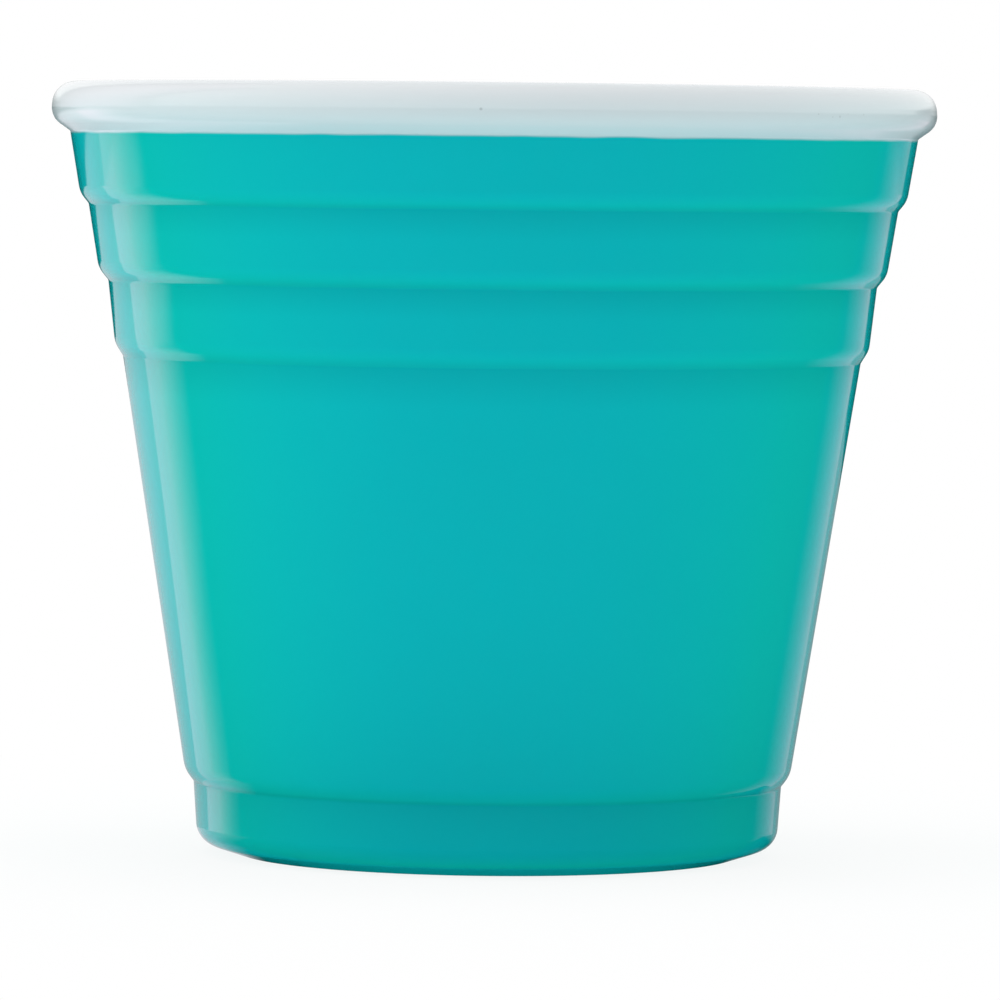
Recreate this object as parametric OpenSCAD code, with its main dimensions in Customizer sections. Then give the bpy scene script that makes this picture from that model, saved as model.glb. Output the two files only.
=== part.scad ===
// Plastic shot glass shaped like a small party cup, moulded in one piece.
// A stout tapered wall with three steps under a thick rounded rim, and one
// more step above the foot. The inside follows the steps and opens over a
// rounded lip; the base stands on a flat ring around a shallow hollow.
// Origin: centre of the foot, on the table; +Z is up the axis.

/* [Whole cup] */
// Height from the table to the top of the rim
cup_h = 49.5; // [48:0.5:54]
// Largest radius, outside the rim bead
rim_r = 28.55; // [27:0.05:30.5]
// Thickness of the moulded wall
wall = 2; // [1.6:0.1:2.4]
// Thickness of the base plate
base_t = 2.2; // [1.8:0.1:2.8]

/* [Rim bead] */
// Height of the bead, from the wall under it to its flat top
bead_h = 3.17; // [2.8:0.01:3.6]
// Height of the bead's sloping underside
bead_under_h = 0.82; // [0.6:0.02:1]
// How far the bead stands out from the wall under it
bead_out = 1.31; // [1:0.01:1.6]
// Inward lean of the bead's face, in mm for each mm down
bead_lean = 0.068; // [0.04:0.002:0.1]
// Radius along the bead's upper outer edge
bead_top_round = 0.95; // [0.6:0.05:1.2]
// Radius along the bead's lower outer edge
bead_low_round = 1.7; // [1.2:0.05:2]
// Radius along the inner edge of the rim, where one drinks
lip_round = 0.9; // [0.5:0.05:1.1]
// Depth of the mould's parting ridge below the top of the rim
parting_depth = 1.66; // [1.4:0.02:1.8]
// How far the parting ridge stands out
parting_out = 0.05; // [0.03:0.01:0.1]

/* [Bands and steps] */
// Height of the three bands under the rim, from the top one down
band_h = [3.95, 4.13, 4.03]; // [3.6:0.01:4.4]
// Inward lean of those bands, in mm for each mm down
band_lean = [0.167, 0.163, 0.114]; // [0.08:0.001:0.2]
// How far the wall steps in below each band and above the foot
step_in = [0.56, 0.63, 0.53, 0.57]; // [0.5:0.01:0.7]
// Height of each of those four steps
step_h = [0.68, 0.77, 0.84, 0.71]; // [0.64:0.01:0.9]
// Inward lean of the long wall, in mm for each mm down
wall_lean = 0.158; // [0.13:0.001:0.17]
// Radius along the outer edge of the three upper steps
step_round = 0.8; // [0.5:0.05:0.9]
// Radius in the inner corner of the steps
step_fillet = 0.54; // [0.3:0.02:0.6]

/* [Foot] */
// Height of the foot's side, from the table to the step above it
foot_h = 4.63; // [4.3:0.01:5]
// Inward lean of the foot's side, in mm for each mm down
foot_lean = 0.07; // [0.04:0.01:0.1]
// Radius along the outer edge of the step above the foot
foot_step_round = 1.97; // [1.4:0.01:2]
// Height at which the foot's side turns in towards the ring
foot_edge_h = 0.86; // [0.7:0.02:1]
// Radius along that turn
foot_round = 1.45; // [1.2:0.05:1.5]
// Outer radius of the flat ring that stands on the table
ring_r = 16; // [15.6:0.1:16.6]
// Width of that ring
ring_w = 1.6; // [1.2:0.1:2]
// Depth of the hollow under the base
recess_h = 1.2; // [0.9:0.1:1.4]
// Radius along the edges of that hollow and of the ring
ring_round = 0.3; // [0.2:0.05:0.35]

/* [Inside] */
// Radius of the inside's corners that follow the steps
inner_round = 0.7; // [0.4:0.05:0.8]
// Radius between the inner wall and the floor
floor_round = 2; // [1.2:0.1:2.4]

/* [Hidden] */

$fn = 160;

teal = [0.043, 0.69, 0.71];

// The blanks that are cut out reach this far past the cup
past = 2;
// An arc reaches this far over the edges it touches, so that they cross
bite = 0.0005;

// Heights of the outer corners, from the rim down
bead_z = cup_h - bead_h;
bead_low_z = bead_z + bead_under_h;
step1_z = bead_z - band_h[0];
band2_z = step1_z - step_h[0];
step2_z = band2_z - band_h[1];
band3_z = step2_z - step_h[1];
step3_z = band3_z - band_h[2];
wall_z = step3_z - step_h[2];
foot_step_z = foot_h + step_h[3];

// Radii of the outer corners, from the rim down
bead_low_r = rim_r - bead_lean * (cup_h - bead_low_z);
bead_r = rim_r - bead_out;
step1_r = bead_r - band_lean[0] * band_h[0];
band2_r = step1_r - step_in[0];
step2_r = band2_r - band_lean[1] * band_h[1];
band3_r = step2_r - step_in[1];
step3_r = band3_r - band_lean[2] * band_h[2];
wall_r = step3_r - step_in[2];
foot_step_r = wall_r - wall_lean * (wall_z - foot_step_z);
foot_r = foot_step_r - step_in[3];
foot_edge_r = foot_r - foot_lean * (foot_h - foot_edge_h);

// The parting ridge on the bead and the hollow under the base
parting_z = cup_h - parting_depth;
parting_r = rim_r - bead_lean * parting_depth;
parting_half = 2 * parting_out;
recess_low_r = ring_r - ring_w;
recess_r = recess_low_r - foot_lean * recess_h;

// Height of the floor inside
floor_z = recess_h + base_t;

// Unit vector along v
function along(v) = v / norm(v);

// Vector v turned left by a right angle
function left(v) = [-v[1], v[0]];

// Point where the line through a along u meets the line through b along v
function meet(a, u, b, v) = a + u * ((b - a) * left(v)) / (u * left(v));

// Corner b of the line a, b, c, moved by d to the left of the way along it
function moved(a, b, c, d) =
    let (u = along(b - a), v = along(c - b))
    meet(b + left(u) * d, u, b + left(v) * d, v);

// Radius that the straight line through a and b has at height z
function radius_at(a, b, z) =
    a[0] + (b[0] - a[0]) * (z - a[1]) / (b[1] - a[1]);

// The wall's corners that the inside follows, from the foot up. The long
// wall and the top band run on to the table and to the rim as if there
// were no foot and no bead.
followed = [
    [wall_r - wall_lean * wall_z, 0],
    [wall_r, wall_z],
    [step3_r, step3_z],
    [band3_r, band3_z],
    [step2_r, step2_z],
    [band2_r, band2_z],
    [step1_r, step1_z],
    [bead_r + band_lean[0] * bead_h, cup_h]
];
inner = [
    for (i = [1 : len(followed) - 2])
        moved(followed[i - 1], followed[i], followed[i + 1], wall)
];
wall_slope = followed[1] - followed[0];
band_slope = followed[7] - followed[6];
floor_r = radius_at(inner[0], inner[0] - wall_slope, floor_z);
lip_r = radius_at(inner[5], inner[5] + band_slope, cup_h);

// Corners of the blanks, each as [radius, height, radius of its rounding],
// counter-clockwise. First the outside, from the foot up.
outside = [
    [0, 0, 0],
    [ring_r, 0, ring_round],
    [foot_edge_r, foot_edge_h, foot_round],
    [foot_r, foot_h, step_fillet],
    [foot_step_r, foot_step_z, foot_step_round],
    [wall_r, wall_z, step_fillet],
    [step3_r, step3_z, step_round],
    [band3_r, band3_z, step_fillet],
    [step2_r, step2_z, step_round],
    [band2_r, band2_z, step_fillet],
    [step1_r, step1_z, step_round],
    [bead_r, bead_z, step_fillet / 3],
    [bead_low_r, bead_low_z, bead_low_round],
    [rim_r, cup_h, bead_top_round],
    [0, cup_h, 0]
];

// The hollow that holds the drink, opening out over the lip
hollow = [
    [0, floor_z, 0],
    [floor_r, floor_z, floor_round],
    for (p = inner) [p[0], p[1], inner_round],
    [lip_r, cup_h, lip_round],
    [rim_r + past, cup_h, 0],
    [rim_r + past, cup_h + past, 0],
    [0, cup_h + past, 0]
];

// The shallow hollow under the base, opening out under the ring
recess = [
    [0, -past, 0],
    [rim_r, -past, 0],
    [rim_r, 0, 0],
    [recess_low_r, 0, ring_round],
    [recess_r, recess_h, ring_round],
    [0, recess_h, 0]
];

// How a rounding sits in corner i of a blank: the two points where its arc
// touches the edges, its centre, and whether it rounds an outward corner
function rounding(blank, i) =
    let (
        n = len(blank),
        a = blank[(i + n - 1) % n],
        p = [blank[i][0], blank[i][1]],
        b = blank[(i + 1) % n],
        u = along(p - [a[0], a[1]]),
        v = along([b[0], b[1]] - p),
        turn = atan2(u[0] * v[1] - u[1] * v[0], u * v),
        r = blank[i][2],
        reach = r * tan(abs(turn) / 2)
    )
    [p - u * reach, p + v * reach,
     p - u * reach + left(u) * r * sign(turn), turn > 0];

// Arcs of a blank that round its outward corners, or its inward ones
module arcs(blank, outward) {
    for (i = [0 : len(blank) - 1]) {
        fit = rounding(blank, i);
        if (blank[i][2] > 0 && fit[3] == outward)
            translate(fit[2]) circle(r = blank[i][2] + bite);
    }
}

// A blank with each corner cut off between its touching points, then
// filled or hollowed by its arc
module rounded(blank) {
    difference() {
        union() {
            polygon([
                for (i = [0 : len(blank) - 1])
                    let (fit = rounding(blank, i))
                    each blank[i][2] > 0
                        ? [fit[0], fit[1]]
                        : [[blank[i][0], blank[i][1]]]
            ]);
            arcs(blank, true);
        }
        arcs(blank, false);
    }
}

// Fine ridge around the bead where the two halves of the mould meet
module parting_ridge() {
    polygon([
        [parting_r - parting_half, parting_z - parting_half],
        [parting_r + parting_out, parting_z],
        [parting_r - parting_half, parting_z + parting_half]
    ]);
}

// The whole cup, turned from one section
module cup() {
    color(teal)
        rotate_extrude()
            difference() {
                union() {
                    rounded(outside);
                    parting_ridge();
                }
                rounded(hollow);
                rounded(recess);
            }
}

cup();
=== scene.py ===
"""Looks of a squat plastic shot glass shaped like a small party cup.

The glass is one moulding in two fused colours: gloss teal outside, white on
the rim bead and inside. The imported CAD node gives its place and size; this
script turns the same section finely, dresses it and sets up a small studio.
"""

import logging
import math
from dataclasses import dataclass, field
from enum import Enum
from typing import Any, Union

import bpy
from mathutils import Euler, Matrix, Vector


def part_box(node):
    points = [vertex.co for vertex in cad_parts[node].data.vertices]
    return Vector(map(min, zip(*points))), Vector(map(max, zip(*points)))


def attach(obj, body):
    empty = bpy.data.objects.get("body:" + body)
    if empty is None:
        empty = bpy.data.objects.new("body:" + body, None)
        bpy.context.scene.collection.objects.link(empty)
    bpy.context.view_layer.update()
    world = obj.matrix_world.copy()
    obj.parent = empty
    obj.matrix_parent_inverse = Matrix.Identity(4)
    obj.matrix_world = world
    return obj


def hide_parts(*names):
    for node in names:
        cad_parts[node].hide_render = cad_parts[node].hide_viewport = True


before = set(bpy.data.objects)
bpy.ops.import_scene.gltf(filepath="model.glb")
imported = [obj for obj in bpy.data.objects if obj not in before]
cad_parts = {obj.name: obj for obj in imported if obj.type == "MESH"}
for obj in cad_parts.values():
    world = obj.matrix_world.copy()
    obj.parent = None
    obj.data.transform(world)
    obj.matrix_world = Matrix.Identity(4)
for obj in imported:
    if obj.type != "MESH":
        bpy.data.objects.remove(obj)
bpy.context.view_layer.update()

log = logging.getLogger("shot_glass")

MM = 0.001
IMAGE_PX = 1000
ON_AXIS = 1e-6

Colour = tuple[float, float, float]
Point = tuple[float, float]
Value = Union[float, "Wire"]


class Turn(Enum):
    """Which way the section bends at a corner, walking with the plastic on the left."""

    OUTWARD = 1
    INWARD = -1


@dataclass(frozen=True)
class Corner:
    """A corner of the section: radius, height and the radius of its rounding, in mm."""

    r: float
    z: float
    rounding: float = 0.0

    def point(self) -> Vector:
        """The corner as a flat vector."""
        return Vector((self.r, self.z))


@dataclass(frozen=True)
class Plastic:
    """A moulded gloss plastic.

    Colour is linear. Tone is how far the pigment's colour drifts over the surface.
    """

    colour: Colour
    roughness: float
    tone: float

    def drifted(self, shader: "Shader", drift: "Wire") -> bpy.types.NodeSocket:
        """The pigment's colour, between its darker and its lighter tone."""
        return shader.mix(drift, shade(self.colour, -self.tone), shade(self.colour, self.tone))


@dataclass(frozen=True)
class Finish:
    """How the plastic's looks vary over the surface.

    Waves are noise scales in waves per metre. The two slanting-view pairs hold where a
    slanting view starts to paint light into the teal, a greener side light and then a
    brighter, bluer edge sheen, and half the width of the change.
    Relief_depth, rim_inset, rim_blur and speck_blur are in mm.
    """

    painted_side_light: tuple[float, float] = (0.25, 0.20)
    painted_edge_sheen: tuple[float, float] = (0.66, 0.08)
    border_waves: float = 260.0
    drift_waves: float = 90.0
    sheen_waves: float = 900.0
    sheen_drift: float = 0.015
    swell_waves: float = 70.0
    swell_share: float = 0.12
    skin_waves: float = 1500.0
    skin_share: float = 0.012
    relief_depth: float = 0.03
    rim_inset: float = 1.0
    rim_blur: float = 0.2
    speck_blur: float = 0.06
    refraction: float = 1.49


@dataclass(frozen=True)
class Speck:
    """A grain of dark dust moulded into the rim: where it lies and its radius in mm."""

    azimuth: float
    z: float
    radius: float


TEAL = Plastic((0.0018, 0.463, 0.508), 0.07, 0.02)
WHITE = Plastic((0.74, 0.765, 0.78), 0.14, 0.01)
FINISH = Finish()
# painted light: teal colours for slanting views, a greener side light and a brighter, bluer edge
# sheen
TEAL_PAINTED_SIDE_LIGHT: Colour = (0.0018, 0.483, 0.437)
TEAL_PAINTED_EDGE_SHEEN: Colour = (0.0018, 0.50, 0.52)
# low on the bead: teal showing through the white, with painted shade and painted teal bounce
# light
WHITE_OVER_TEAL_SHADED: Colour = (0.47, 0.655, 0.695)
BLACK: Colour = (0.0, 0.0, 0.0)
SPECK_COLOUR: Colour = (0.22, 0.27, 0.29)
FLOOR_COLOUR: Colour = (0.93, 0.93, 0.93)
DIM_TINT: Colour = (1.0, 1.1, 1.1)
BRIGHT_TINT: Colour = (1.07, 0.65, 0.79)


class Wire:
    """A number in a shader. Python's operators on it add Math nodes."""

    def __init__(self, shader: "Shader", socket: bpy.types.NodeSocket) -> None:
        """Wraps an output socket of a node in the shader's tree."""
        self.shader = shader
        self.socket = socket

    def math(self, operation: str, *others: Value) -> "Wire":
        """Adds a Math node whose first input is this wire.

        Args:
            operation: Blender's name of the operation.
            others: the node's further inputs, in order.

        Returns:
            The node's result.
        """
        return self.shader.math(operation, self, *others)

    def __add__(self, other: Value) -> "Wire":
        """Sum."""
        return self.shader.math("ADD", self, other)

    def __radd__(self, other: Value) -> "Wire":
        """Sum with a number on the left."""
        return self.shader.math("ADD", other, self)

    def __sub__(self, other: Value) -> "Wire":
        """Difference."""
        return self.shader.math("SUBTRACT", self, other)

    def __rsub__(self, other: Value) -> "Wire":
        """Difference from a number on the left."""
        return self.shader.math("SUBTRACT", other, self)

    def __mul__(self, other: Value) -> "Wire":
        """Product."""
        return self.shader.math("MULTIPLY", self, other)

    def __rmul__(self, other: Value) -> "Wire":
        """Product with a number on the left."""
        return self.shader.math("MULTIPLY", other, self)

    def __truediv__(self, other: Value) -> "Wire":
        """Quotient."""
        return self.shader.math("DIVIDE", self, other)

    def over(self, level: Value, blur: float) -> "Wire":
        """A soft threshold.

        Args:
            level: where the result passes a half.
            blur: half the width over which it rises.

        Returns:
            0 well under the level and 1 well over it.
        """
        return ((self - level) / (2 * blur) + 0.5).math("MINIMUM", 1.0).math("MAXIMUM", 0.0)


class Shader:
    """A material's or world's node tree, filled through one method."""

    def __init__(self, owner: Union[bpy.types.Material, bpy.types.World]) -> None:
        """Empties the owner's tree and starts it anew.

        Args:
            owner: the material or world whose tree is filled.
        """
        owner.use_nodes = True
        self.tree = owner.node_tree
        self.tree.nodes.clear()

    def add(
        self,
        kind: str,
        settings: dict[str, Any] | None = None,
        inputs: dict[Union[str, int], Any] | None = None,
    ) -> bpy.types.Node:
        """Adds any node.

        Args:
            kind: the node's type.
            settings: its own properties, set before its inputs.
            inputs: values, wires or output sockets for its inputs, by name or place.

        Returns:
            The node.
        """
        node = self.tree.nodes.new(kind)
        for key, value in (settings or {}).items():
            setattr(node, key, value)
        for key, value in (inputs or {}).items():
            self.feed(node.inputs[key], value)
        return node

    def feed(self, socket: bpy.types.NodeSocket, value: Any) -> None:
        """Links a wire or an output socket to an input, or sets the input's value.

        Args:
            socket: the input.
            value: a wire, an output socket or a constant.
        """
        if isinstance(value, Wire):
            value = value.socket
        if isinstance(value, bpy.types.NodeSocket):
            self.tree.links.new(value, socket)
        else:
            socket.default_value = value

    def wire(self, node: bpy.types.Node, output: Union[str, int] = 0) -> Wire:
        """One output of a node as a wire."""
        return Wire(self, node.outputs[output])

    def attribute(self, name: str) -> Wire:
        """A number that the mesh carries at its points."""
        return self.wire(self.add("ShaderNodeAttribute", {"attribute_name": name}), "Fac")

    def height(self, place: bpy.types.NodeSocket) -> Wire:
        """The Z of a place or direction."""
        return self.wire(self.add("ShaderNodeSeparateXYZ", None, {"Vector": place}), "Z")

    def math(self, operation: str, *values: Value) -> Wire:
        """Adds a Math node over numbers or wires, and returns its result."""
        node = self.add("ShaderNodeMath", {"operation": operation}, dict(enumerate(values)))
        return self.wire(node)

    def off_axis(self, place: bpy.types.NodeSocket) -> Wire:
        """Measures how far a place lies from the Z axis.

        Args:
            place: an output socket with the place.

        Returns:
            The distance in metres.
        """
        flat = self.add(
            "ShaderNodeVectorMath", {"operation": "MULTIPLY"}, {0: place, 1: (1.0, 1.0, 0.0)}
        )
        length = self.add(
            "ShaderNodeVectorMath", {"operation": "LENGTH"}, {0: flat.outputs["Vector"]}
        )
        return self.wire(length, "Value")

    def noise(self, place: bpy.types.NodeSocket, scale: float, detail: float) -> Wire:
        """Adds smooth noise.

        Args:
            place: an output socket with the place.
            scale: waves per metre.
            detail: how many finer layers the noise has.

        Returns:
            The noise, from 0 to 1.
        """
        node = self.add(
            "ShaderNodeTexNoise",
            {"noise_dimensions": "3D"},
            {"Vector": place, "Scale": scale, "Detail": detail, "Roughness": 0.5},
        )
        return self.wire(node, "Fac")

    def mix(self, share: Value, first: Any, second: Any) -> bpy.types.NodeSocket:
        """Mixes two colours.

        Args:
            share: how much of the second colour is taken, from 0 to 1.
            first: a linear colour or an output socket.
            second: the same.

        Returns:
            The output socket with the mixed colour.
        """
        node = self.add("ShaderNodeMix", {"data_type": "RGBA", "clamp_factor": True})
        for key, value in (("Factor", share), ("A", first), ("B", second)):
            socket = next(s for s in node.inputs if s.name == key and s.enabled)
            self.feed(socket, (*value, 1.0) if isinstance(value, tuple) else value)
        return next(s for s in node.outputs if s.enabled)


def shade(colour: Colour, share: float) -> Colour:
    """A colour made brighter or darker by a share of itself."""
    red, green, blue = (channel * (1 + share) for channel in colour)
    return red, green, blue


class Section:
    """A closed run of corners turned into a fine line with rounded corners.

    ARC_STEP is the widest angle between the points of an arc. REST is how far a
    straight run's first point lies from its end, and RUN_STEP about how far apart
    its other points lie, both in mm.
    """

    ARC_STEP = math.radians(9)
    REST = 0.03
    RUN_STEP = 2.4

    def __init__(self, corners: list[Corner]) -> None:
        """Takes corners in mm, in order, from axis to axis."""
        self.corners = corners

    def line(self) -> list[Point]:
        """Works out the section's points.

        Straight runs get points near both ends and along their length, so
        that smooth shading bends only in the arcs.

        Returns:
            Points as (radius, height), in mm.
        """
        points: list[Point] = []
        for i, corner in enumerate(self.corners):
            arc = self.arc(i) if corner.rounding > 0 else [corner.point()]
            if points:
                points += self.run(Vector(points[-1]), arc[0])
            points += [tuple(p) for p in arc]
        return points

    def arc(self, i: int) -> list[Vector]:
        """Rounds a corner.

        Args:
            i: the corner's place in the run.

        Returns:
            Points of the arc, both touching points included.
        """
        here = self.corners[i].point()
        before = (here - self.corners[i - 1].point()).normalized()
        after = (self.corners[i + 1].point() - here).normalized()
        bend = math.atan2(before.x * after.y - before.y * after.x, before.dot(after))
        turn = Turn.OUTWARD if bend > 0 else Turn.INWARD
        radius = self.corners[i].rounding
        reach = radius * math.tan(abs(bend) / 2)
        to_centre = Vector((-before.y, before.x)) * turn.value
        start = here - before * reach
        centre = start + to_centre * radius
        steps = max(3, math.ceil(abs(bend) / self.ARC_STEP))
        spoke = start - centre
        out = []
        for k in range(steps + 1):
            angle = bend * k / steps
            out.append(centre + Vector((
                spoke.x * math.cos(angle) - spoke.y * math.sin(angle),
                spoke.x * math.sin(angle) + spoke.y * math.cos(angle),
            )))
        return out

    def run(self, start: Vector, end: Vector) -> list[Point]:
        """Divides a straight run.

        Args:
            start: the run's first point.
            end: its last point.

        Returns:
            The points between the two ends, without the ends.
        """
        length = (end - start).length
        if length < 4 * self.REST:
            return []
        shares = [self.REST / length]
        pieces = max(1, round(length / self.RUN_STEP))
        shares += [k / pieces for k in range(1, pieces)]
        shares.append(1 - self.REST / length)
        return [tuple(start.lerp(end, share)) for share in shares]


@dataclass
class ShotGlass:
    """The moulded glass. Lengths are in mm.

    They repeat the CAD part's, apart from the roundings of the bead and the
    steps, which are drawn finer here.
    """

    height: float = 49.5
    rim_r: float = 28.55
    wall: float = 2.0
    base: float = 2.2
    bead_h: float = 3.17
    bead_under_h: float = 0.82
    bead_out: float = 1.31
    bead_lean: float = 0.068
    bead_top_round: float = 1.45
    bead_low_round: float = 1.25
    bead_fillet: float = 0.18
    lip_round: float = 0.9
    parting_depth: float = 1.66
    parting_round: float = 0.8
    bead_draft: float = 0.08
    band_h: tuple[float, ...] = (3.95, 4.13, 4.03)
    band_lean: tuple[float, ...] = (0.167, 0.163, 0.114)
    step_in: tuple[float, ...] = (0.56, 0.63, 0.53, 0.57)
    step_h: tuple[float, ...] = (0.68, 0.77, 0.84, 0.71)
    wall_lean: float = 0.158
    step_round: float = 1.6
    step_fillet: float = 0.3
    foot_h: float = 4.63
    foot_lean: float = 0.07
    foot_step_round: float = 1.97
    foot_edge_h: float = 0.86
    foot_round: float = 1.45
    ring_r: float = 16.0
    ring_w: float = 1.6
    recess_h: float = 1.2
    ring_round: float = 0.3
    inner_round: float = 0.7
    floor_round: float = 2.0
    turns: int = 256
    border_drop: float = 0.12
    border_wave: float = 0.035
    border_blur: float = 0.07
    # height of the band low on the bead that is darkened and tinted towards teal
    bleed_and_shade_h: float = 3.0
    # strength and reach of the painted shade under each step
    painted_step_shade_share: float = 0.13
    painted_step_shade_h: float = 2.0
    specks: tuple[Speck, ...] = (
        Speck(-1.6, 47.83, 0.055),
        Speck(14.0, 47.54, 0.045),
        Speck(44.8, 47.78, 0.04),
        Speck(47.5, 47.61, 0.05),
        Speck(48.9, 47.63, 0.055),
        Speck(50.5, 47.81, 0.035),
        Speck(53.9, 47.80, 0.04),
        Speck(-38.0, 47.1, 0.04),
    )

    def outer_corners(self) -> list[Corner]:
        """Works out the outside of the wall and the bead.

        Returns:
            Its corners, from the foot's edge up to the lip.
        """
        bead_z = self.height - self.bead_h
        bead_low_z = bead_z + self.bead_under_h
        z, r = bead_z, self.rim_r - self.bead_out
        falling = [
            Corner(
                self.rim_r - (self.bead_lean + self.bead_draft) * self.parting_depth,
                self.height,
                self.bead_top_round,
            ),
            Corner(
                self.rim_r - self.bead_lean * self.parting_depth,
                self.height - self.parting_depth,
                self.parting_round,
            ),
            Corner(
                self.rim_r - self.bead_lean * (self.height - bead_low_z),
                bead_low_z,
                self.bead_low_round,
            ),
            Corner(r, z, self.bead_fillet),
        ]
        for h, lean, inward, drop in zip(self.band_h, self.band_lean, self.step_in, self.step_h):
            z, r = z - h, r - lean * h
            falling.append(Corner(r, z, self.step_round))
            z, r = z - drop, r - inward
            falling.append(Corner(r, z, self.step_fillet))
        step_z = self.foot_h + self.step_h[3]
        r -= self.wall_lean * (z - step_z)
        falling.append(Corner(r, step_z, self.foot_step_round))
        r -= self.step_in[3]
        falling.append(Corner(r, self.foot_h, self.step_fillet))
        r -= self.foot_lean * (self.foot_h - self.foot_edge_h)
        falling.append(Corner(r, self.foot_edge_h, self.foot_round))
        return falling[::-1]

    def inner_corners(self, outer: list[Corner]) -> list[Corner]:
        """Corners of the inside, from the lip down to the floor's edge.

        Args:
            outer: the corners of the outside, from the foot's side up.

        Returns:
            The wall's corners moved inward by its thickness, with the lip and the
            floor's round at the ends.
        """
        step_corners = [c.point() for c in outer[3:9]]
        foot_line = step_corners[0] - Vector((self.wall_lean, 1)) * step_corners[0].y
        rim_line = step_corners[-1] + Vector((self.band_lean[0], 1)) * (
            self.height - step_corners[-1].y
        )
        followed = [foot_line, *step_corners, rim_line]
        moved = [self.shifted(*followed[i - 1 : i + 2]) for i in range(1, len(followed) - 1)]
        floor_z = self.recess_h + self.base
        floor_r = moved[0].x - self.wall_lean * (moved[0].y - floor_z)
        lip_r = moved[-1].x + self.band_lean[0] * (self.height - moved[-1].y)
        rising = [Corner(floor_r, floor_z, self.floor_round)]
        rising += [Corner(p.x, p.y, self.inner_round) for p in moved]
        rising.append(Corner(lip_r, self.height, self.lip_round))
        return rising[::-1]

    def shifted(self, a: Vector, b: Vector, c: Vector) -> Vector:
        """Moves a corner inward by the wall's thickness.

        Args:
            a: the corner before it.
            b: the corner.
            c: the corner after it.

        Returns:
            Where the inside's corner lies.
        """
        u, v = (b - a).normalized(), (c - b).normalized()
        left_u, left_v = Vector((-u.y, u.x)), Vector((-v.y, v.x))
        return b + (left_u + left_v) * self.wall / (1 + left_u.dot(left_v))

    def section(self) -> tuple[list[Point], int]:
        """The whole section, from the axis under the base to the axis on the floor.

        Returns:
            The points in mm, and how many of them belong to the teal outside.
        """
        outer = self.outer_corners()
        under = [
            Corner(0, self.recess_h),
            Corner(
                self.ring_r - self.ring_w - self.foot_lean * self.recess_h,
                self.recess_h,
                self.ring_round,
            ),
            Corner(self.ring_r - self.ring_w, 0, self.ring_round),
            Corner(self.ring_r, 0, self.ring_round),
        ]
        floor = Corner(0, self.recess_h + self.base)
        whole = Section([*under, *outer, *self.inner_corners(outer), floor]).line()
        bead_z = self.height - self.bead_h
        teal = next(i for i, (_, z) in enumerate(whole) if z > bead_z)
        return whole, teal

    def painted_step_shade_at(self, z: float) -> float:
        """How much painted shade darkens the teal at a height: 1 in the corner under a step.

        Args:
            z: height in mm.

        Returns:
            A share of painted shade that falls to 0 within a set height under each step.
        """
        corners = [c.z for c in self.outer_corners() if c.rounding == self.step_fillet]
        unders = [corner + self.step_fillet / 2 - z for corner in corners]
        return max([0.0, *(1 - under / self.painted_step_shade_h for under in unders if under >= 0)])

    def build(self) -> bpy.types.Object:
        """Turns the section round the axis into one closed mesh.

        Returns:
            The glass, without its material.
        """
        points, teal = self.section()
        low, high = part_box("cup")
        scale = (high.z - low.z) / self.height
        verts: list[tuple[float, float, float]] = []
        rings: list[list[int]] = []
        lined: list[float] = []
        painted_step_shade: list[float] = []
        for i, (r, z) in enumerate(points):
            on_axis = r < ON_AXIS
            # painted shade under the step above, kept on each point for the material
            tone = self.painted_step_shade_at(z)
            count = 1 if on_axis else self.turns
            rings.append([len(verts) + k for k in range(count)] * (self.turns // count))
            for k in range(count):
                angle = 2 * math.pi * k / self.turns
                verts.append((
                    r * scale * math.cos(angle),
                    r * scale * math.sin(angle),
                    low.z + z * scale,
                ))
                lined.append(0.0 if i < teal else 1.0)
                painted_step_shade.append(tone)
        faces: list[tuple[int, ...]] = []
        for lower, upper in zip(rings, rings[1:]):
            for k in range(self.turns):
                m = (k + 1) % self.turns
                loop = (lower[k], lower[m], upper[m], upper[k])
                faces.append(tuple(dict.fromkeys(loop)))
        mesh = bpy.data.meshes.new("moulded_cup")
        mesh.from_pydata(verts, [], faces)
        mesh.validate()
        mesh.shade_smooth()
        mesh.attributes.new("lined", "FLOAT", "POINT").data.foreach_set("value", lined)
        mesh.attributes.new("painted_step_shade", "FLOAT", "POINT").data.foreach_set("value", painted_step_shade)
        cup = bpy.data.objects.new("moulded_cup", mesh)
        bpy.context.scene.collection.objects.link(cup)
        return cup

    @property
    def border(self) -> float:
        """Height in mm at which the teal ends and the white begins."""
        return self.height - self.bead_h - self.border_drop

    def outside(self, shader: Shader, drift: Wire) -> bpy.types.NodeSocket:
        """Colours the outside.

        Args:
            shader: the material's tree.
            drift: where the pigment is lighter.

        Returns:
            Teal with painted light and shade: a painted side light and edge sheen that
            follow a slanting view, and painted shade just under each step.
        """
        facing = shader.add("ShaderNodeLayerWeight", None, {"Blend": 0.5})
        aslant = shader.wire(facing, "Facing")
        tone = TEAL.drifted(shader, drift)
        # painted side light, then painted edge sheen, as the view slants towards the edge
        tone = shader.mix(aslant.over(*FINISH.painted_side_light), tone, TEAL_PAINTED_SIDE_LIGHT)
        tone = shader.mix(aslant.over(*FINISH.painted_edge_sheen), tone, TEAL_PAINTED_EDGE_SHEEN)
        # painted shade: the teal darkened towards black just under each step
        return shader.mix(shader.attribute("painted_step_shade") * self.painted_step_shade_share, tone, BLACK)

    def lining(
        self, shader: Shader, place: bpy.types.NodeSocket, drift: Wire
    ) -> bpy.types.NodeSocket:
        """Colours the bead and the inside.

        Args:
            shader: the material's tree.
            place: an output socket with the place.
            drift: where the pigment is lighter.

        Returns:
            White, darker and tinted towards teal low on the bead's outside: some teal
            showing through, with painted shade and painted teal bounce light.
        """
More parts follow.
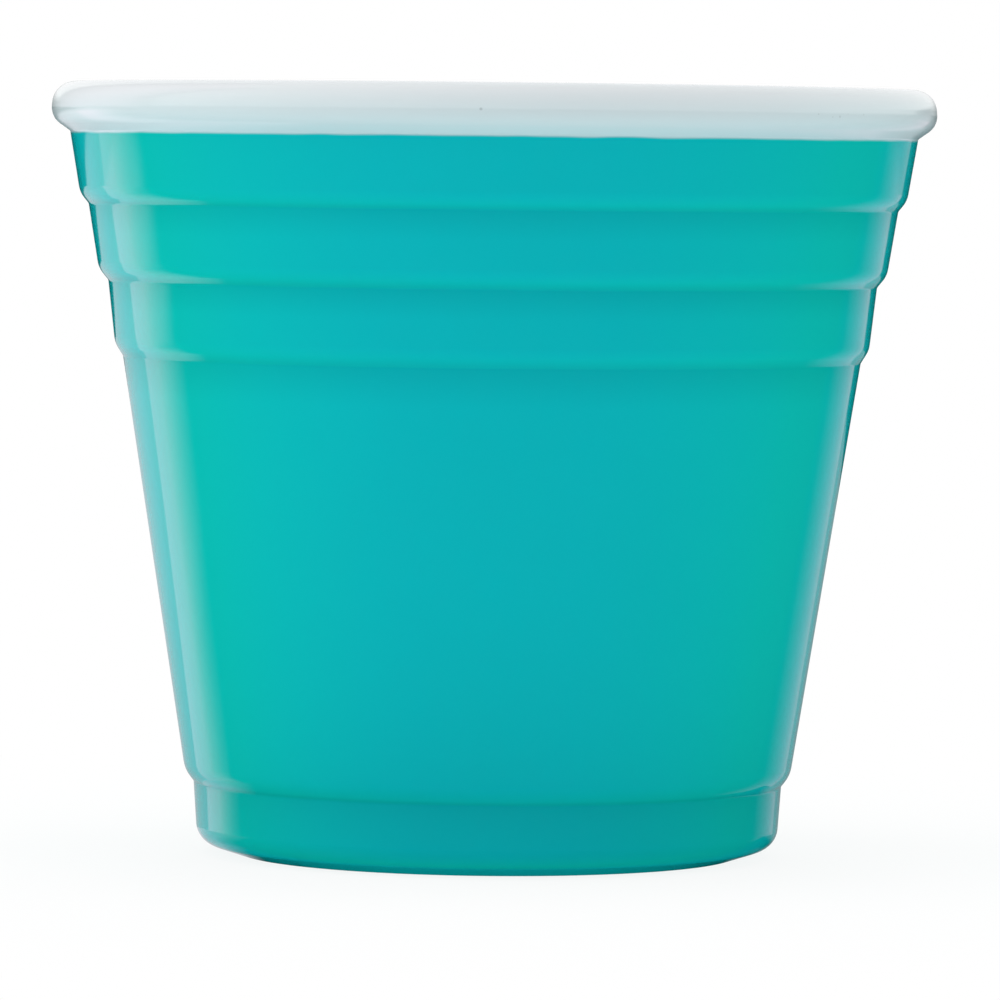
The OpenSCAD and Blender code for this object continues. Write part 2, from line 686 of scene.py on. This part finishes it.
        # painted shade and teal bounce light, with teal showing through, over a band low on the
        # bead
        half = self.bleed_and_shade_h / 2
        bled_and_shaded = 1 - shader.height(place).over((self.border + half) * MM, half * MM)
        band_r = self.rim_r - self.bead_out - FINISH.rim_inset
        on_bead = shader.off_axis(place).over(band_r * MM, FINISH.rim_blur * MM)
        return shader.mix(bled_and_shaded * on_bead, WHITE.drifted(shader, drift), WHITE_OVER_TEAL_SHADED)

    def relief(self, shader: Shader, place: bpy.types.NodeSocket) -> bpy.types.NodeSocket:
        """Makes the surface swell slightly, with a fine skin.

        Args:
            shader: the material's tree.
            place: an output socket with the place.

        Returns:
            The output socket with the bent normal.
        """
        swell = shader.noise(place, FINISH.swell_waves, 1) * FINISH.swell_share
        skin = shader.noise(place, FINISH.skin_waves, 2) * FINISH.skin_share
        bump = shader.add("ShaderNodeBump", None, {
            "Height": swell + skin, "Strength": 1.0, "Distance": FINISH.relief_depth * MM
        })
        return bump.outputs["Normal"]

    def dress(self, cup: bpy.types.Object) -> None:
        """Gives the glass its fused two-colour plastic.

        Args:
            cup: what build made.
        """
        material = bpy.data.materials.new("fused_plastic")
        shader = Shader(material)
        place = shader.add("ShaderNodeTexCoord").outputs["Object"]
        wave = shader.noise(place, FINISH.border_waves, 1) - 0.5
        waved = shader.height(place) - wave * (4 * self.border_wave * MM)
        white = waved.over(self.border * MM, self.border_blur * MM)
        white = white.math("MAXIMUM", shader.attribute("lined").over(0.5, 0.25))
        drift = shader.noise(place, FINISH.drift_waves, 2)
        lining = self.lining(shader, place, drift)
        colour = shader.mix(white, self.outside(shader, drift), lining)
        colour = shader.mix(self.dust(shader, place), colour, SPECK_COLOUR)
        rough = TEAL.roughness + white * (WHITE.roughness - TEAL.roughness)
        sheen = shader.noise(place, FINISH.sheen_waves, 3) - 0.5
        surface = shader.add("ShaderNodeBsdfPrincipled", None, {
            "Base Color": colour,
            "Roughness": rough + sheen * (2 * FINISH.sheen_drift),
            "Normal": self.relief(shader, place),
            "IOR": FINISH.refraction,
        })
        shader.add("ShaderNodeOutputMaterial", None, {"Surface": surface.outputs[0]})
        cup.data.materials.append(material)

    def dust(self, shader: Shader, place: bpy.types.NodeSocket) -> Wire:
        """Marks the few dark grains moulded into the rim.

        Args:
            shader: the material's tree.
            place: an output socket with the place.

        Returns:
            1 on a grain and 0 elsewhere.
        """
        radius = self.rim_r * MM
        mask: Value = 0.0
        for speck in self.specks:
            angle = math.radians(speck.azimuth)
            spot = (radius * math.sin(angle), -radius * math.cos(angle), speck.z * MM)
            apart = shader.add(
                "ShaderNodeVectorMath", {"operation": "DISTANCE"}, {0: place, 1: spot}
            )
            near = 1 - shader.wire(apart, "Value").over(
                (speck.radius + FINISH.speck_blur) * MM, speck.radius * MM
            )
            mask = near + mask
        return mask

    def place(self) -> bpy.types.Object:
        """Builds and dresses the glass, and puts it in the CAD node's stead.

        Returns:
            The finished glass.
        """
        cup = self.build()
        self.dress(cup)
        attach(cup, "root")
        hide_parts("cup")
        log.info("moulded_cup: %d faces", len(cup.data.polygons))
        return cup


@dataclass(frozen=True)
class Softbox:
    """A soft rectangular lamp aimed at the glass. Angles in degrees, lengths in m.

    Azimuth runs from the camera's side towards the left. Glow is the radiance of
    the lamp's face, so that its power follows from its size.
    """

    name: str
    azimuth: float
    elevation: float
    glow: float
    tint: Colour = (1.0, 1.0, 1.0)
    distance: float = 1.0
    width: float = 0.7
    height: float = 0.7

    def hang(self, aim: Vector) -> bpy.types.Object:
        """Makes the lamp and turns it to face the aim point.

        Args:
            aim: the point in metres.

        Returns:
            The lamp, which neither the camera nor a mirror sees.
        """
        data = bpy.data.lights.new(self.name, "AREA")
        data.shape = "RECTANGLE"
        data.size, data.size_y = self.width, self.height
        data.energy = self.glow * math.pi * self.width * self.height
        data.color = self.tint
        lamp = bpy.data.objects.new(self.name, data)
        a, e = math.radians(self.azimuth), math.radians(self.elevation)
        back = Vector((-math.sin(a) * math.cos(e), -math.cos(a) * math.cos(e), math.sin(e)))
        lamp.location = aim + back * self.distance
        lamp.rotation_euler = back.to_track_quat("Z", "Y").to_euler()
        lamp.visible_camera = False
        lamp.visible_glossy = False
        bpy.context.scene.collection.objects.link(lamp)
        return lamp


@dataclass(frozen=True)
class CardRow:
    """One level of a card: the azimuth of each column and the glow there. Lengths in mm."""

    z: float
    azimuths: tuple[float, ...]
    glows: tuple[float, ...]
    radius: float = 180.0


@dataclass(frozen=True)
class Card:
    """A glowing card beside the glass that only its gloss mirrors.

    Its rows lie on circles round the axis. Azimuth runs in degrees from the
    camera's side towards the left. Bright is the glow at which its light is pinkest.
    """

    name: str
    rows: tuple[CardRow, ...]
    bright: float = 1.6

    def tinted(self, glow: float) -> Colour:
        """Tints a glow, faintly blue-green where it is dim and pink where it is bright.

        Args:
            glow: the card's radiance at a point.

        Returns:
            The light's linear colour, already as strong as the glow.
        """
        share = min(glow / self.bright, 1.0)
        red, green, blue = (d + (b - d) * share for d, b in zip(DIM_TINT, BRIGHT_TINT))
        return glow * red, glow * green, glow * blue

    def stand(self) -> bpy.types.Object:
        """Makes the card as a grid of quads between its rows and columns.

        Returns:
            The card, which only mirrored rays see.
        """
        verts: list[tuple[float, float, float]] = []
        glows: list[float] = []
        columns = len(self.rows[0].azimuths)
        for row in self.rows:
            for azimuth, glow in zip(row.azimuths, row.glows):
                a = math.radians(azimuth)
                verts.append((
                    -row.radius * MM * math.sin(a),
                    -row.radius * MM * math.cos(a),
                    row.z * MM,
                ))
                glows += [*self.tinted(glow), 1.0]
        faces = [
            (first + k, first + k + 1, first + k + 1 + columns, first + k + columns)
            for first in range(0, columns * (len(self.rows) - 1), columns)
            for k in range(columns - 1)
        ]
        mesh = bpy.data.meshes.new(self.name)
        mesh.from_pydata(verts, [], faces)
        mesh.attributes.new("glow", "FLOAT_COLOR", "POINT").data.foreach_set("color", glows)
        card = bpy.data.objects.new(self.name, mesh)
        bpy.context.scene.collection.objects.link(card)
        material = bpy.data.materials.new(self.name)
        shader = Shader(material)
        glow = shader.add("ShaderNodeAttribute", {"attribute_name": "glow"})
        light = shader.add("ShaderNodeEmission", None, {"Color": glow.outputs["Color"]})
        shader.add("ShaderNodeOutputMaterial", None, {"Surface": light.outputs[0]})
        material.cycles.emission_sampling = "NONE"
        mesh.materials.append(material)
        card.visible_camera = False
        card.visible_diffuse = False
        card.visible_shadow = False
        return card


LEFT_BOX = Card("left_box", (
    CardRow(300, (93, 104, 118, 130, 148), (0, 1.0, 1.05, 0.85, 0.4)),
    CardRow(46, (93, 104, 118, 130, 148), (0, 1.0, 1.05, 0.85, 0.4)),
    CardRow(43, (106, 112, 118, 121, 131.4), (0, 0.2, 0.35, 0.4, 0.35)),
    CardRow(36, (106, 112, 118, 121, 131.4), (0, 0.2, 0.35, 0.4, 0.35)),
    CardRow(31, (108, 112, 118, 122, 127.5), (0, 0.4, 0.8, 1.0, 1.0)),
    CardRow(27, (112, 115, 119, 122, 128.0), (0, 0.5, 0.9, 1.1, 1.1)),
    CardRow(23, (108, 112, 118, 123, 129.4), (0, 0.5, 0.9, 1.15, 1.15)),
    CardRow(22, (109.5, 112.5, 118, 122, 132), (0, 0.7, 1.25, 1.6, 1.5)),
    CardRow(18, (105.5, 109, 118, 122, 132), (0, 0.5, 1.3, 1.6, 1.5)),
    CardRow(15, (104.5, 109, 118, 122, 131.5), (0, 0.6, 1.25, 1.6, 1.5)),
    CardRow(8, (106, 112, 118, 122, 132.2), (0, 0.65, 1.2, 1.5, 1.4)),
    CardRow(-3, (106, 112, 118, 124, 134), (0, 0.5, 1.05, 1.5, 1.35)),
    CardRow(-13, (107, 112, 118, 125, 137), (0, 0.35, 0.85, 1.4, 1.2)),
    CardRow(-22, (109, 114, 119, 126, 140), (0, 0.25, 0.65, 1.25, 1.15)),
    CardRow(-60, (113, 117, 121, 127, 144), (0, 0.4, 0.7, 0.9, 0.9)),
    CardRow(-300, (115, 118, 122, 128, 144), (0, 0.6, 0.8, 0.9, 0.9)),
))
LEFT_TABLE = Card("left_table", (
    CardRow(32, (127.3, 144), (0.55, 0.55)),
    CardRow(30, (127.6, 150), (0.60, 0.60)),
    CardRow(26.5, (128.1, 155), (0.62, 0.62)),
    CardRow(23, (129.4, 168), (0.62, 0.62)),
    CardRow(22, (132, 174), (0.62, 0.62)),
    CardRow(18, (132, 180), (0.68, 0.6)),
    CardRow(15, (131.5, 180), (0.68, 0.6)),
    CardRow(8, (132.2, 180), (0.66, 0.6)),
    CardRow(-3, (134, 180), (0.60, 0.58)),
    CardRow(-13, (137, 180), (0.54, 0.52)),
    CardRow(-22, (140, 180), (0.50, 0.46)),
    CardRow(-60, (144, 180), (0.5, 0.5)),
    CardRow(-300, (144, 180), (0.5, 0.5)),
))
RIGHT_BOX = Card("right_box", (
    CardRow(60, (-134, -149), (0, 0.15)),
    CardRow(31, (-128, -149), (0, 0.42)),
    CardRow(28, (-126, -149.5), (0, 0.70)),
    CardRow(8, (-127, -151), (0, 0.66)),
    CardRow(-40, (-125, -151), (0, 0.66)),
    CardRow(-300, (-113, -151), (0, 0.80)),
), bright=0.8)
RIGHT_TABLE = Card("right_table", (
    CardRow(14, (-151.2, -180), (0.27, 0.27)),
    CardRow(-300, (-151.2, -180), (0.27, 0.27)),
), bright=0.8)


@dataclass(frozen=True)
class FootShade:
    """The dark that the lower edge of the foot mirrors: the floor just before it.

    Each end is a radius in mm with the azimuths where the dark stops at the right
    and at the left. The floor brightens towards the ends, and past the left one
    up to the azimuths in beyond, so that the mirrored light reaches the edge.
    """

    ends: tuple[tuple[float, float, float], ...] = (
        (15.6, -80, 74),
        (18.8, -80, 74),
        (19.6, -104, 80),
        (25, -108, 82),
    )
    middle: tuple[float, ...] = (-30, -20, -10, 0, 10, 20, 30)
    beyond: tuple[float, ...] = (105, 125)
    right_ramp: float = 12
    left_ramp: float = 14
    right_glow: float = 0.25
    left_glows: tuple[float, ...] = (0.6, 0.8, 0.8)

    def card(self) -> Card:
        """Lays the dark out as a card.

        Returns:
            A card on the floor with one row for each radius.
        """
        rows: list[CardRow] = []
        for radius, right, left in self.ends:
            dark = (right + self.right_ramp, *self.middle, left - self.left_ramp)
            azimuths = (right, *dark, left, *self.beyond)
            glows = (self.right_glow, *(0.0,) * len(dark), *self.left_glows)
            rows.append(CardRow(0.0, azimuths, glows, radius))
        return Card("foot_shade", tuple(rows))


@dataclass
class Studio:
    """Camera, lamps, cards, pale floor and white surround. Lengths in m.

    Each blur is half the width over which the value named before it changes.
    """

    focal_px: float = 7764.0
    distance: float = 0.500
    eye_height: float = 0.04487
    aside: float = 0.00062
    horizon_row: float = 158.0
    roll: float = 0.0108
    floor_half: float = 3.0
    aim: Vector = field(default_factory=lambda: Vector((0, 0, 0.026)))
    lamps: tuple[Softbox, ...] = (
        Softbox("left_front", 40, 50, 0.65, (0.88, 0.96, 1.0)),
        Softbox("right_front", -40, 50, 0.20, (0.78, 0.88, 1.0)),
        Softbox("left", 95, 20, 2.0, (0.97, 1.0, 0.96)),
        Softbox("right", -115, 20, 1.2, (0.80, 1.0, 0.93)),
        Softbox("above", 0, 88, 2.0, (0.98, 0.98, 1.0)),
        Softbox("behind", 180, 35, 1.0, (0.97, 1.0, 0.97)),
    )
    cards: tuple[Card, ...] = (LEFT_BOX, LEFT_TABLE, RIGHT_BOX, RIGHT_TABLE, FootShade().card())
    sky_glow: float = 0.52
    sky_mirrored: float = 1.0
    below_mirrored: float = 0.003
    # painted shade on the floor close to the foot, as the glass sees it
    floor_painted_shade: float = 0.42
    floor_near: float = 0.026
    floor_near_blur: float = 0.0104
    floor_glow: float = 0.30
    foot_glow: float = 0.30
    foot_glow_r: float = 0.0195
    foot_glow_blur: float = 0.001625
    floor_shadow: float = 0.12
    floor_fade: float = 0.055
    floor_fade_blur: float = 0.0275
    horizon: float = 0.05
    horizon_blur: float = 0.05

    def camera(self) -> None:
        """Sets the camera where the photograph was taken from."""
        data = bpy.data.cameras.new("camera")
        data.sensor_width = 36.0
        data.lens = self.focal_px * data.sensor_width / IMAGE_PX
        data.clip_start, data.clip_end = 0.01, 50.0
        eye = bpy.data.objects.new("camera", data)
        eye.location = (self.aside, -self.distance, self.eye_height)
        pitch = math.atan((IMAGE_PX / 2 - self.horizon_row) / self.focal_px)
        level = Euler((math.pi / 2 - pitch, 0, 0)).to_quaternion()
        eye.rotation_mode = "QUATERNION"
        eye.rotation_quaternion = level @ Euler((0, 0, self.roll)).to_quaternion()
        bpy.context.scene.collection.objects.link(eye)
        bpy.context.scene.camera = eye

    def floor(self) -> bpy.types.Object:
        """Lays a pale floor that lights the glass from below.

        The camera sees it white, with a faint shadow close to the foot. For the glass's
        own rays it is painted darker close to the foot, a painted shade, and it glows,
        most in a ring right under the foot's edge.

        Returns:
            The floor, which no mirrored ray sees.
        """
        half = self.floor_half
        mesh = bpy.data.meshes.new("floor")
        mesh.from_pydata(
            [(-half, -half, 0), (half, -half, 0), (half, half, 0), (-half, half, 0)],
            [],
            [(0, 1, 2, 3)],
        )
        floor = bpy.data.objects.new("floor", mesh)
        bpy.context.scene.collection.objects.link(floor)
        material = bpy.data.materials.new("pale_floor")
        shader = Shader(material)
        seen = shader.wire(shader.add("ShaderNodeLightPath"), "Is Camera Ray")
        away = shader.off_axis(shader.add("ShaderNodeTexCoord").outputs["Object"])
        # painted shade: the floor that the glass sees is darker close to the foot
        lit = 1 - self.floor_painted_shade * (1 - away.over(self.floor_near, self.floor_near_blur))
        shadow = 1 - away.over(self.floor_fade, self.floor_fade_blur)
        share = seen * shadow * self.floor_shadow + (1 - seen) * lit
        colour = shader.mix(share, BLACK, FLOOR_COLOUR)
        matt = shader.add("ShaderNodeBsdfDiffuse", None, {"Color": colour})
        at_foot = 1 - away.over(self.foot_glow_r, self.foot_glow_blur)
        unseen = lit * self.floor_glow + at_foot * self.foot_glow
        strength = seen * (1 - shadow * self.floor_shadow) + (1 - seen) * unseen
        glow = shader.add(
            "ShaderNodeEmission", None, {"Color": (1, 1, 1, 1), "Strength": strength}
        )
        both = shader.add("ShaderNodeAddShader", None, {0: matt.outputs[0], 1: glow.outputs[0]})
        shader.add("ShaderNodeOutputMaterial", None, {"Surface": both.outputs[0]})
        mesh.materials.append(material)
        floor.visible_glossy = False
        return floor

    def surround(self) -> None:
        """A white surround for the camera; a plain soft sky for everything else.

        Gloss mirrors the sky above the horizon and a dark room below it.
        """
        world = bpy.data.worlds.new("surround")
        shader = Shader(world)
        path = shader.add("ShaderNodeLightPath")
        seen = shader.wire(path, "Is Camera Ray") + shader.wire(path, "Is Transmission Ray")
        mirrored = shader.wire(path, "Is Glossy Ray")
        place = shader.add("ShaderNodeTexCoord").outputs["Generated"]
        above = shader.height(place).over(self.horizon, self.horizon_blur)
        in_gloss = above * (self.sky_mirrored - self.below_mirrored) + self.below_mirrored
        unseen = mirrored * in_gloss + (1 - mirrored) * self.sky_glow
        seen = seen.math("MINIMUM", 1.0)
        glow = shader.add("ShaderNodeBackground", None, {
            "Color": (1, 1, 1, 1), "Strength": seen + (1 - seen) * unseen
        })
        shader.add("ShaderNodeOutputWorld", None, {"Surface": glow.outputs[0]})
        world.cycles.sampling_method = "NONE"
        bpy.context.scene.world = world

    def light(self) -> None:
        """Hangs the lamps and stands the cards round the glass."""
        for lamp in self.lamps:
            lamp.hang(self.aim)
        for card in self.cards:
            card.stand()

    def set_up(self) -> None:
        """Makes the whole studio."""
        self.camera()
        self.floor()
        self.surround()
        self.light()
        bpy.context.scene.view_settings.view_transform = "Standard"
        log.info("studio: %d lamps, %d cards", len(self.lamps), len(self.cards))


def main() -> None:
    """Builds the glass and its studio."""
    logging.basicConfig(level=logging.INFO, format="%(name)s: %(message)s")
    ShotGlass().place()
    Studio().set_up()


if __name__ == "__main__":
    main()
